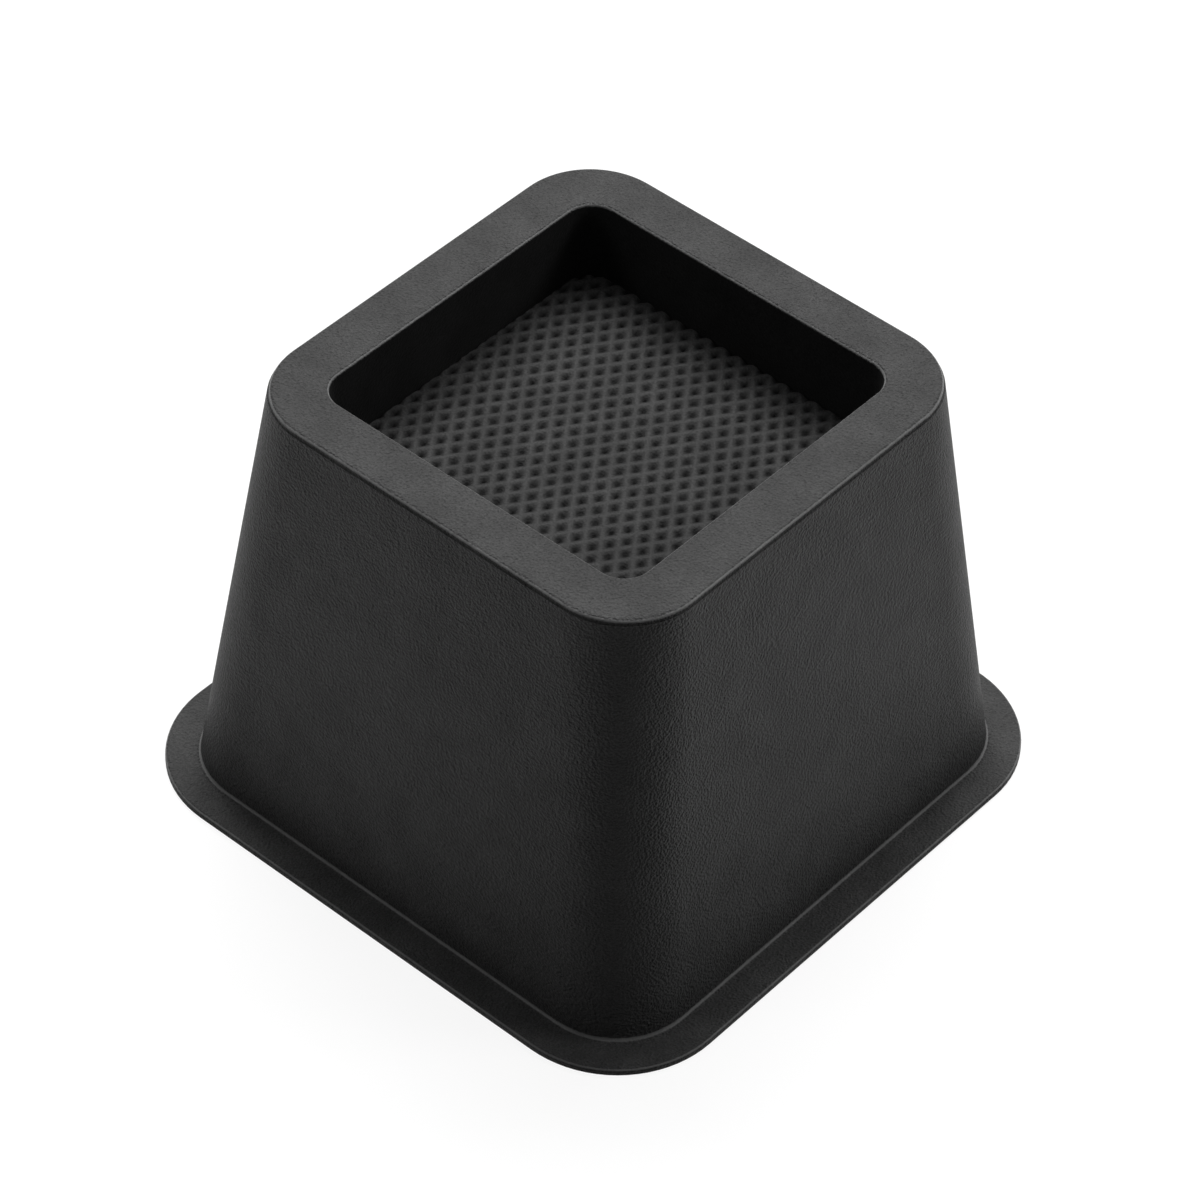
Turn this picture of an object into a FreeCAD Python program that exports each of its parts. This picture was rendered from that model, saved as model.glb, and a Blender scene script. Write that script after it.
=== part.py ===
"""Square bed riser: a hollow moulded body with a flanged foot, and the grip pad in its recess."""
import FreeCAD, Part
import math
import os
from FreeCAD import Vector

# Body, outside. All sizes in mm, the floor at z = 0, the axis of the square on z.
height = 101.6               # floor to rim, the nominal four-inch lift
foot_across = 126.4          # width over the walls where they meet the flange
rim_across = 102.8           # width over the lip at the rim
corner_radius = 17.5         # the walls' corners, one radius from foot to rim
flange_reach = 7.4           # how far the flange stands out from the walls
flange_thickness = 1.6
foot_fillet = 1.0            # hollow round where the walls meet the flange
flange_edge_round = 0.7
rim_edge_round = 0.8
parting_drop = 1.3           # the mould's parting line, below the rim
parting_step = 0.25          # ledge that it leaves between the walls and the lip above

# Recess for the furniture leg
mouth_across = 80.0          # width of the recess at the rim
mouth_corner_radius = 6.1
recess_depth = 20.0          # rim to the moulded floor under the pad
recess_draft = 1.5           # degrees, so that the recess draws from the mould
mouth_edge_round = 0.7

# Hollow underside
wall = 3.2                   # side walls, measured level
rim_thickness = 3.6
tray_wall = 2.8              # sides of the recess, seen from below
tray_floor = 4.0
rib_root = 3.2               # crossed ribs under the recess: thickness at the top
rib_foot = 2.4               # and at the lower edge
rib_lift = 2.0               # lower edge above the floor

# Grip pad
pad_thickness = 2.2
pad_clearance = 0.3          # gap round the pad, to the recess's sides
pit_pitch_x = 4.0            # the pad's diamond pits, from pit to pit along a row
pit_pitch_y = 5.6            # and from a row to the next but one
ridge_width = 1.5            # flat top of the ridges between pits
pit_depth = 0.9              # down to the pit's pointed bottom
pattern_turn = 0.7           # degrees, the sheet was cut a little askew

# How closely an edge has to lie on a level and an outline to be found there
level_within = 0.01
outline_within = 0.05

AXIS = Vector(0, 0, 1)
ORIGIN = Vector(0, 0, 0)

recess_floor = height - recess_depth
recess_floor_across = mouth_across - 2 * recess_depth * math.tan(math.radians(recess_draft))


def ring(points):
    """Closed wire through the points."""
    return Part.makePolygon(points + points[:1])


def sides(low, high):
    """Flat faces between two rings of points."""
    faces = []
    for here in range(len(low)):
        after = (here + 1) % len(low)
        faces.append(Part.Face(ring([low[here], low[after], high[after], high[here]])))
    return faces


def frustum(low, high):
    """Flat-sided solid between two rings of points."""
    ends = [Part.Face(ring(low)), Part.Face(ring(high))]
    return Part.Solid(Part.Shell(sides(low, high) + ends))


def square(across, z):
    """Corners of a square about the axis."""
    half = across / 2
    return [Vector(half, half, z), Vector(-half, half, z), Vector(-half, -half, z), Vector(half, -half, z)]


def drafted_block(low_across, low_z, high_across, high_z, radius):
    """Square block with drafted sides and one radius along its upright edges."""
    solid = frustum(square(low_across, low_z), square(high_across, high_z))
    upright = [edge for edge in solid.Edges if edge.BoundBox.ZLength > (high_z - low_z) / 2]
    return solid.makeFillet(radius, upright)


def edges_at(shape, z, across):
    """Edges that lie level at height z, on a square outline of about this width."""
    found = []
    for edge in shape.Edges:
        box = edge.BoundBox
        level = max(abs(box.ZMin - z), abs(box.ZMax - z)) < level_within
        reach = max(abs(box.XMin), abs(box.XMax), abs(box.YMin), abs(box.YMax))
        if level and abs(reach - across / 2) < outline_within:
            found.append(edge)
    return found


def wall_across(z):
    """Width over the side walls at height z."""
    share = (z - flange_thickness) / (height - flange_thickness)
    return foot_across + (rim_across + 2 * parting_step - foot_across) * share


def outer_form():
    """Solid outline of the body: drafted walls on a thin flange, and the lip above the parting line."""
    flange_across = foot_across + 2 * flange_reach
    flange = drafted_block(flange_across, 0, flange_across, flange_thickness, corner_radius + flange_reach)
    parting = height - parting_drop
    walls = drafted_block(foot_across, flange_thickness, wall_across(parting), parting, corner_radius)
    lip = drafted_block(wall_across(parting) - 2 * parting_step, parting, rim_across, height,
                        corner_radius - parting_step)
    form = flange.fuse([walls, lip])
    form = form.makeFillet(foot_fillet, edges_at(form, flange_thickness, foot_across))
    form = form.makeFillet(flange_edge_round, edges_at(form, flange_thickness, flange_across))
    return form.makeFillet(rim_edge_round, edges_at(form, height, rim_across))


def rib(turn):
    """One upright rib across the hollow, thinner towards its lower edge."""
    top = height - rim_thickness
    reach = wall_across(0) / 2
    corners = [(-rib_foot / 2, rib_lift), (rib_foot / 2, rib_lift), (rib_root / 2, top), (-rib_root / 2, top)]
    profile = Part.Face(ring([Vector(-reach, y, z) for y, z in corners]))
    web = profile.extrude(Vector(2 * reach, 0, 0))
    web.rotate(ORIGIN, AXIS, turn)
    return web


def hollow():
    """The space under the body: inside the walls, less the recess's tray and the crossed ribs."""
    top = height - rim_thickness
    inside = drafted_block(wall_across(0) - 2 * wall, 0, wall_across(top) - 2 * wall, top, corner_radius - wall)
    tray = drafted_block(recess_floor_across + 2 * tray_wall, recess_floor - tray_floor,
                         mouth_across + 2 * tray_wall, top, mouth_corner_radius + tray_wall)
    return inside.cut([tray, rib(0), rib(90)])


def riser_body():
    """The moulded body: outer form, less the hollow underside and the leg's recess."""
    recess = drafted_block(recess_floor_across, recess_floor, mouth_across, height, mouth_corner_radius)
    body = outer_form().cut([hollow(), recess])
    return body.makeFillet(mouth_edge_round, edges_at(body, height, mouth_across)).Solids[0]


def diamond(share, place, z):
    """Corners of one pit of the pad's pattern, as a share of its cell, turned as the sheet was cut."""
    half_x = share * pit_pitch_x / 2
    half_y = share * pit_pitch_y / 2
    turn = FreeCAD.Rotation(AXIS, pattern_turn)
    corners = [(half_x, 0), (0, half_y), (-half_x, 0), (0, -half_y)]
    return [turn.multVec(place + Vector(x, y, z)) for x, y in corners]


def pit_places(across):
    """Centres of the pits that can reach a square of this width, each row set half a pitch aside."""
    columns = math.ceil(across / pit_pitch_x) + 2
    rows = math.ceil(across / pit_pitch_y) + 2
    for column in range(-columns, columns + 1):
        for row in range(-rows, rows + 1):
            if (column + row) % 2 == 0:
                yield Vector(column * pit_pitch_x / 2, row * pit_pitch_y / 2, 0)


def outside_by(point, across, radius):
    """How far a point lies outside a square with round corners, and less than zero inside it."""
    flat = across / 2 - radius
    past_x = abs(point.x) - flat
    past_y = abs(point.y) - flat
    return math.hypot(max(past_x, 0), max(past_y, 0)) + min(max(past_x, past_y), 0) - radius


def pit_sides(mouth, bottom):
    """The four sloping faces of a pit, from its mouth down to its lowest point."""
    return [Part.Face(ring([mouth[here - 1], mouth[here], bottom])) for here in range(len(mouth))]


def grip_pad():
    """Sheet on the recess's floor, its top covered with diamond pits between crossing ridges."""
    top = recess_floor + pad_thickness
    across = recess_floor_across - 2 * pad_clearance
    radius = mouth_corner_radius - pad_clearance
    half_cell = 1 / math.hypot(2 / pit_pitch_x, 2 / pit_pitch_y)
    mouth_share = 1 - ridge_width / 2 / half_cell
    mouths = []
    whole_pits = []
    cut_pits = []
    for place in pit_places(across):
        mouth = diamond(mouth_share, place, top)
        bottom = diamond(0, place, top - pit_depth)[0]
        margins = [outside_by(corner, across, radius) for corner in mouth]
        if max(margins) < 0:
            mouths.append(ring(mouth[::-1]))
            whole_pits += pit_sides(mouth, bottom)
        elif min(margins) < 0:
            over = diamond(2 * mouth_share, place, top + pit_depth)
            cut_pits.append(Part.Solid(Part.Shell(pit_sides(over, bottom) + [Part.Face(ring(over))])))
    sheet = drafted_block(across, recess_floor, across, top, radius).cut(cut_pits)
    plain_top = max(sheet.Faces, key=lambda face: (round(face.CenterOfMass.z, 3), face.Area))
    other_faces = [face for face in sheet.Faces if not face.isSame(plain_top)]
    pitted_top = Part.Face([plain_top.OuterWire] + mouths)
    return Part.Solid(Part.Shell(other_faces + [pitted_top] + whole_pits))


os.makedirs("parts", exist_ok=True)
riser_body().exportStep("parts/riser_body.step")
grip_pad().exportStep("parts/grip_pad.step")
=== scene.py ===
"""Looks of the square bed riser: black moulded body, embossed grip pad, white studio."""
import math

import bpy
import numpy as np
from mathutils import Matrix, Vector

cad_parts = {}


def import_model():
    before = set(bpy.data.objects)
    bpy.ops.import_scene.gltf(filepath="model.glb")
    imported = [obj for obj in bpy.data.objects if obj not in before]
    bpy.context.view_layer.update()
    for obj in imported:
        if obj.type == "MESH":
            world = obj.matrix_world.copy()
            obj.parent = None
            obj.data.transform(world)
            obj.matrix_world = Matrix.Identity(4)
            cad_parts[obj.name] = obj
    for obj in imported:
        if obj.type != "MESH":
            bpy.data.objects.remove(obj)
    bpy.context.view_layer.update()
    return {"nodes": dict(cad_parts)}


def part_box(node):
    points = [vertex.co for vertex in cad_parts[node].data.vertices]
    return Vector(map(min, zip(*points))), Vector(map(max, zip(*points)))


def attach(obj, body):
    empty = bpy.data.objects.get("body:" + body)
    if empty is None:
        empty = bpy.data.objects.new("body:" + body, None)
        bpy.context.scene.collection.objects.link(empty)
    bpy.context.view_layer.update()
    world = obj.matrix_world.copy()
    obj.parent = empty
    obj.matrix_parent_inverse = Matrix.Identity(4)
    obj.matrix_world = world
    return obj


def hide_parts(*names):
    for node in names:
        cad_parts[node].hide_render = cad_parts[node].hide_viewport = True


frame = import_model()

# Lengths are in metres, scales of textures in features to the metre
MM = 0.001

# Black moulding: its shade, and the grain eroded into it
BODY_SHADE = (0.025, 0.034)
BODY_SPECKLE = (0.7, 1.3)
BODY_ROUGHNESS = (0.38, 0.54)
BODY_IOR = 1.13
BODY_CLOUD_SCALE = 110
PEBBLE_SCALE = 1600
PEBBLE_BUMP = 0.34 * MM
WRINKLE_SCALE = 2700
WRINKLE_BUMP = 0.40 * MM
LEVEL_GRAIN = 0.6
SMOOTH_GRAIN = 0.15

# Its rounded edges, told by how far they face upward, are smoother and carry a painted highlight, a lighter
# colour
WALL_FACING = (0.22, 0.45)
EDGE_FACING = (0.74, 0.90)
LEVEL_FACING = (0.90, 0.99)
EDGE_PAINTED_HIGHLIGHT = 0.075
EDGE_SMOOTHER = 0.12

# The sides of its recess are smooth, with painted shade darkening their colour
RECESS_REACH = 41.0 * MM
RECESS_LOW = 80.0 * MM
RECESS_HIGH = 100.9 * MM
RECESS_PAINTED_SHADE = 0.35

# Grip pad: diamond pits in rows set half a pitch aside, on a sheet that was cut a little askew
PIT_PITCH_X = 4.0 * MM
PIT_PITCH_Y = 5.6 * MM
PIT_DEPTH = 0.9 * MM
PIT_CURVE = 1.7
PIT_SQUARENESS = 8
PATTERN_TURN = math.radians(0.7)
PAD_CORNER_RADIUS = 5.8 * MM
PAD_CELLS = 280
PAD_EDGE_ANGLE = math.radians(50)

# Its rubber, with painted shade darkening it down in the pits
PAD_SHADE_WITH_PAINTED_PIT_SHADE = (0.002, 0.027)
PAINTED_PIT_SHADE_CURVE = 1.8
PAD_CLOUD = (0.85, 1.1)
PAD_CLOUD_SCALE = 140
PAD_SPECKLE = (0.7, 1.3)
PAD_ROUGHNESS = (0.46, 0.64)
PAD_IOR = 1.10
SKIN_SCALE = 2200
SKIN_BUMP = 0.20 * MM

# Where most of a noise lies, and the octaves it has
NOISE_SPAN = (0.3, 0.7)
NOISE_DETAIL = 2

# The photograph's viewpoint, about the centre of the base
CAMERA_PLACE = Vector((0.4440, -0.5277, 0.7200))
CAMERA_TARGET = Vector((0.0, 0.0, 0.0425))
CAMERA_ROLL = math.radians(1.986)
CAMERA_LENS = 143.0
CAMERA_SENSOR = 36.0

# Studio: light thrown back by the floor, its colour to the eye, its share of plain white, and even light
FLOOR_HALF = 6.0
FLOOR_LEVEL = -0.2 * MM
FLOOR_BOUNCE = 0.05
FLOOR_COLOUR = 0.9
FLOOR_WHITE = 0.88
EVEN_LIGHT = 0.04

# Lamps aimed at the object, and bright cards on the floor beside it: name, place, width and length, radiance
LAMPS = [
    ("back_light", (-0.54, 0.65, 1.38), (1.3, 0.8), 17.5),
    ("right_light", (0.90, 0.83, 0.85), (0.4, 0.4), 16.0),
    ("left_light", (-0.65, -1.10, 0.83), (0.4, 0.4), 6.0),
    ("top_light", (0.0, 0.0, 1.5), (1.0, 1.0), 1.2),
]
CARDS = [
    ("right_card", (0.280, 0.230, 0.002), (0.40, 0.52), 1.35),
    ("left_card", (-0.235, -0.280, 0.002), (0.52, 0.40), 1.15),
]
UPWARD = Vector((0, 0, 1))


# Nodes

class Tree:
    """A node tree with short calls for the nodes that are used here."""

    def __init__(self, owner):
        owner.use_nodes = True
        self.nodes = owner.node_tree.nodes
        self.links = owner.node_tree.links

    def put(self, socket, value):
        """Sets a socket to a number, or links it to another socket."""
        if isinstance(value, bpy.types.NodeSocket):
            self.links.new(value, socket)
        else:
            socket.default_value = value

    def reckon(self, operation, first, second=0):
        """One step of arithmetic on two values."""
        node = self.nodes.new("ShaderNodeMath")
        node.operation = operation
        self.put(node.inputs[0], first)
        self.put(node.inputs[1], second)
        return node.outputs[0]

    def span(self, value, source, target):
        """The value carried over from one span to another, and held at its ends."""
        node = self.nodes.new("ShaderNodeMapRange")
        for socket, number in zip(node.inputs[1:5], (*source, *target)):
            socket.default_value = number
        self.put(node.inputs["Value"], value)
        return node.outputs["Result"]

    def mask(self, share, off, on):
        """One number where a mask is nought, another where it is one."""
        return self.span(share, (0, 1), (off, on))

    def noise(self, place, scale):
        """Cloudy noise."""
        node = self.nodes.new("ShaderNodeTexNoise")
        node.inputs["Scale"].default_value = scale
        node.inputs["Detail"].default_value = NOISE_DETAIL
        self.put(node.inputs["Vector"], place)
        return node.outputs["Fac"]

    def pebbles(self, place, scale):
        """Distance from the nearest of scattered points, which makes pebbled cells."""
        node = self.nodes.new("ShaderNodeTexVoronoi")
        node.feature = "F1"
        node.inputs["Scale"].default_value = scale
        self.put(node.inputs["Vector"], place)
        return node.outputs["Distance"]

    def bump(self, height, distance, strength, normal=None):
        """Bump from a height, laid over another bump if one is given."""
        node = self.nodes.new("ShaderNodeBump")
        node.inputs["Distance"].default_value = distance
        self.put(node.inputs["Strength"], strength)
        self.put(node.inputs["Height"], height)
        if normal is not None:
            self.put(node.inputs["Normal"], normal)
        return node.outputs["Normal"]

    def axes(self, vector):
        """The three parts of a vector."""
        node = self.nodes.new("ShaderNodeSeparateXYZ")
        self.put(node.inputs[0], vector)
        return node.outputs

    def seen(self):
        """One for rays from the eye and for reflected and refracted ones, nought for light on its way."""
        rays = self.nodes.new("ShaderNodeLightPath").outputs
        direct = self.reckon("MAXIMUM", rays["Is Camera Ray"], rays["Is Glossy Ray"])
        return self.reckon("MAXIMUM", direct, rays["Is Transmission Ray"])


# Materials

def rounded_edges(tree, upward):
    """One on the fillets and rounds, which face between level and upright, nought on flats and walls."""
    off_wall = tree.span(upward, WALL_FACING, (0, 1))
    off_level = tree.span(upward, EDGE_FACING, (1, 0))
    return tree.reckon("MULTIPLY", off_wall, off_level)


def inside_recess(tree, place):
    """One on the sides of the recess, nought elsewhere."""
    x, y, z = tree.axes(place)
    reach = tree.reckon("MAXIMUM", tree.reckon("ABSOLUTE", x), tree.reckon("ABSOLUTE", y))
    within = tree.reckon("LESS_THAN", reach, RECESS_REACH)
    above = tree.reckon("GREATER_THAN", z, RECESS_LOW)
    below = tree.reckon("LESS_THAN", z, RECESS_HIGH)
    return tree.reckon("MULTIPLY", within, tree.reckon("MULTIPLY", above, below))


def black_plastic():
    """Black moulding with an eroded grain, smooth in the recess, with painted shade on the recess sides and
    a painted highlight on its rounded edges.
    """
    material = bpy.data.materials.new("black_plastic")
    tree = Tree(material)
    shader = tree.nodes["Principled BSDF"]
    coordinates = tree.nodes.new("ShaderNodeTexCoord").outputs
    place = coordinates["Object"]
    upward = tree.axes(coordinates["Normal"])["Z"]
    cloud = tree.noise(place, BODY_CLOUD_SCALE)
    wrinkles = tree.noise(place, WRINKLE_SCALE)
    pebbles = tree.pebbles(place, PEBBLE_SCALE)
    edges = rounded_edges(tree, upward)
    recess = inside_recess(tree, place)

    shade = tree.span(cloud, NOISE_SPAN, BODY_SHADE)
    shade = tree.reckon("MULTIPLY", shade, tree.span(wrinkles, NOISE_SPAN, BODY_SPECKLE))
    # Painted highlight: the rounded edges are made lighter in colour
    shade = tree.reckon("ADD", shade, tree.mask(edges, 0, EDGE_PAINTED_HIGHLIGHT))
    # Painted shade: the sides of the recess are made darker in colour
    shade = tree.reckon("MULTIPLY", shade, tree.mask(recess, 1, RECESS_PAINTED_SHADE))
    tree.put(shader.inputs["Base Color"], shade)
    roughness = tree.span(wrinkles, NOISE_SPAN, BODY_ROUGHNESS)
    roughness = tree.reckon("SUBTRACT", roughness, tree.mask(edges, 0, EDGE_SMOOTHER))
    tree.put(shader.inputs["Roughness"], roughness)
    shader.inputs["IOR"].default_value = BODY_IOR
    grained = tree.mask(tree.reckon("MAXIMUM", edges, recess), 1, SMOOTH_GRAIN)
    grained = tree.reckon("MULTIPLY", grained, tree.span(upward, LEVEL_FACING, (1, LEVEL_GRAIN)))
    coarse = tree.bump(pebbles, PEBBLE_BUMP, grained)
    tree.put(shader.inputs["Normal"], tree.bump(wrinkles, WRINKLE_BUMP, grained, coarse))
    return material


def grip_rubber():
    """Matt black elastomer with a fine foamed skin, with painted shade darkening it down in the pits."""
    material = bpy.data.materials.new("grip_rubber")
    tree = Tree(material)
    shader = tree.nodes["Principled BSDF"]
    place = tree.nodes.new("ShaderNodeTexCoord").outputs["Object"]
    cloud = tree.noise(place, PAD_CLOUD_SCALE)
    skin = tree.noise(place, SKIN_SCALE)
    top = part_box("grip_pad")[1].z
    level = tree.span(tree.axes(place)["Z"], (top - PIT_DEPTH, top), (0, 1))

    # Painted shade: the colour darkens with depth down in the pits
    shade = tree.span(tree.reckon("POWER", level, PAINTED_PIT_SHADE_CURVE), (0, 1), PAD_SHADE_WITH_PAINTED_PIT_SHADE)
    shade = tree.reckon("MULTIPLY", shade, tree.span(skin, NOISE_SPAN, PAD_SPECKLE))
    shade = tree.reckon("MULTIPLY", shade, tree.span(cloud, NOISE_SPAN, PAD_CLOUD))
    tree.put(shader.inputs["Base Color"], shade)
    tree.put(shader.inputs["Roughness"], tree.span(skin, NOISE_SPAN, PAD_ROUGHNESS))
    shader.inputs["IOR"].default_value = PAD_IOR
    tree.put(shader.inputs["Normal"], tree.bump(skin, SKIN_BUMP, 1.0))
    return material


def studio_floor():
    """Floor that is white to the eye and keeps a soft shadow, and throws little light back."""
    material = bpy.data.materials.new("studio_floor")
    tree = Tree(material)
    tree.nodes.remove(tree.nodes["Principled BSDF"])
    seen = tree.seen()
    lit = tree.nodes.new("ShaderNodeBsdfDiffuse")
    tree.put(lit.inputs["Color"], tree.mask(seen, FLOOR_BOUNCE, FLOOR_COLOUR))
    white = tree.nodes.new("ShaderNodeEmission")
    mix = tree.nodes.new("ShaderNodeMixShader")
    tree.put(mix.inputs[0], tree.mask(seen, 0, FLOOR_WHITE))
    tree.put(mix.inputs[1], lit.outputs[0])
    tree.put(mix.inputs[2], white.outputs[0])
    tree.put(tree.nodes["Material Output"].inputs["Surface"], mix.outputs[0])
    return material


def dress(piece, material):
    """Gives a piece one material all over."""
    piece.data.materials.clear()
    piece.data.materials.append(material)


def new_object(name, data):
    """Puts a mesh, lamp or camera into the scene under a name."""
    piece = bpy.data.objects.new(name, data)
    bpy.context.scene.collection.objects.link(piece)
    return piece


# Grip pad

def pit_depths(x, y):
    """Depth of the embossed surface below its ridges, for arrays of places on the pad."""
    along = x * math.cos(PATTERN_TURN) + y * math.sin(PATTERN_TURN)
    across = y * math.cos(PATTERN_TURN) - x * math.sin(PATTERN_TURN)
    first = along / PIT_PITCH_X + across / PIT_PITCH_Y
    second = along / PIT_PITCH_X - across / PIT_PITCH_Y
    from_first = 2 * np.abs(first - np.round(first))
    from_second = 2 * np.abs(second - np.round(second))
    from_centre = (from_first ** PIT_SQUARENESS + from_second ** PIT_SQUARENESS) ** (1 / PIT_SQUARENESS)
    return PIT_DEPTH * np.clip(1 - from_centre, 0, 1) ** PIT_CURVE


def grip_pad():
    """The embossed sheet: a fine grid in the pad's rounded outline, with its edge and underside."""
    low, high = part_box("grip_pad")
    half = (high.x - low.x) / 2
    flat = half - PAD_CORNER_RADIUS
    count = PAD_CELLS + 1
    share = np.linspace(-1, 1, count)
    rows = half * share
    past = np.clip(np.abs(rows) - flat, 0, None)
    reach = flat + np.sqrt(np.clip(PAD_CORNER_RADIUS ** 2 - past ** 2, 0, None))
    x = reach[:, None] * share[None, :]
    y = np.repeat(rows[:, None], count, axis=1)
    top = np.stack([x, y, high.z - pit_depths(x, y)], -1).reshape(-1, 3)
    index = np.arange(count * count).reshape(count, count)
    corners = [index[:-1, :-1], index[:-1, 1:], index[1:, 1:], index[1:, :-1]]
    faces = np.stack(corners, -1).reshape(-1, 4).tolist()

    edge = np.concatenate([index[0, :-1], index[:-1, -1], index[-1, :0:-1], index[:0:-1, 0]])
    skirt = top[edge].copy()
    skirt[:, 2] = low.z
    under = np.arange(len(edge)) + len(top)
    faces += np.stack([edge, under, np.roll(under, -1), np.roll(edge, -1)], -1).tolist()
    faces.append(under[::-1].tolist())
    mesh = bpy.data.meshes.new("grip_pad_embossed")
    mesh.from_pydata(np.concatenate([top, skirt]).tolist(), [], faces)
    mesh.shade_smooth()
    mesh.set_sharp_from_angle(angle=PAD_EDGE_ANGLE)
    return new_object("grip_pad_embossed", mesh)


# Studio

def floor():
    """A wide plain floor under the object."""
    mesh = bpy.data.meshes.new("floor")
    corners = [(-1, -1), (1, -1), (1, 1), (-1, 1)]
    mesh.from_pydata([(FLOOR_HALF * x, FLOOR_HALF * y, FLOOR_LEVEL) for x, y in corners], [], [range(4)])
    mesh.materials.append(studio_floor())
    new_object("floor", mesh)


def world():
    """Surroundings that are white to the eye and add a little even light."""
    surroundings = bpy.data.worlds.new("studio")
    tree = Tree(surroundings)
    background = tree.nodes["Background"]
    background.inputs["Color"].default_value = (1, 1, 1, 1)
    tree.put(background.inputs["Strength"], tree.mask(tree.seen(), EVEN_LIGHT, 1))
    bpy.context.scene.world = surroundings


def softbox(name, place, toward, size, radiance):
    """Rectangular lamp that faces a direction."""
    wide, long = size
    lamp = bpy.data.lights.new(name, "AREA")
    lamp.shape = "RECTANGLE"
    lamp.size = wide
    lamp.size_y = long
    lamp.energy = radiance * math.pi * wide * long
    piece = new_object(name, lamp)
    piece.location = place
    piece.rotation_euler = toward.to_track_quat("-Z", "Y").to_euler()


def camera():
    """The photograph's viewpoint, closed in on the one object."""
    forward = (CAMERA_TARGET - CAMERA_PLACE).normalized()
    level = forward.cross(UPWARD).normalized()
    above = level.cross(forward)
    right = math.cos(CAMERA_ROLL) * level + math.sin(CAMERA_ROLL) * above
    up = math.cos(CAMERA_ROLL) * above - math.sin(CAMERA_ROLL) * level
    lens = bpy.data.cameras.new("camera")
    lens.lens = CAMERA_LENS
    lens.sensor_width = CAMERA_SENSOR
    piece = new_object("camera", lens)
    turn = Matrix((right, up, -forward)).transposed().to_4x4()
    piece.matrix_world = Matrix.Translation(CAMERA_PLACE) @ turn
    bpy.context.scene.camera = piece


# The object

dress(frame["nodes"]["riser_body"], black_plastic())
pad = grip_pad()
dress(pad, grip_rubber())
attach(pad, "root")
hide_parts("grip_pad")

# The picture

floor()
world()
for name, place, size, radiance in LAMPS:
    softbox(name, place, CAMERA_TARGET - Vector(place), size, radiance)
for name, place, size, radiance in CARDS:
    softbox(name, place, UPWARD, size, radiance)
camera()
bpy.context.scene.view_settings.view_transform = "Standard"
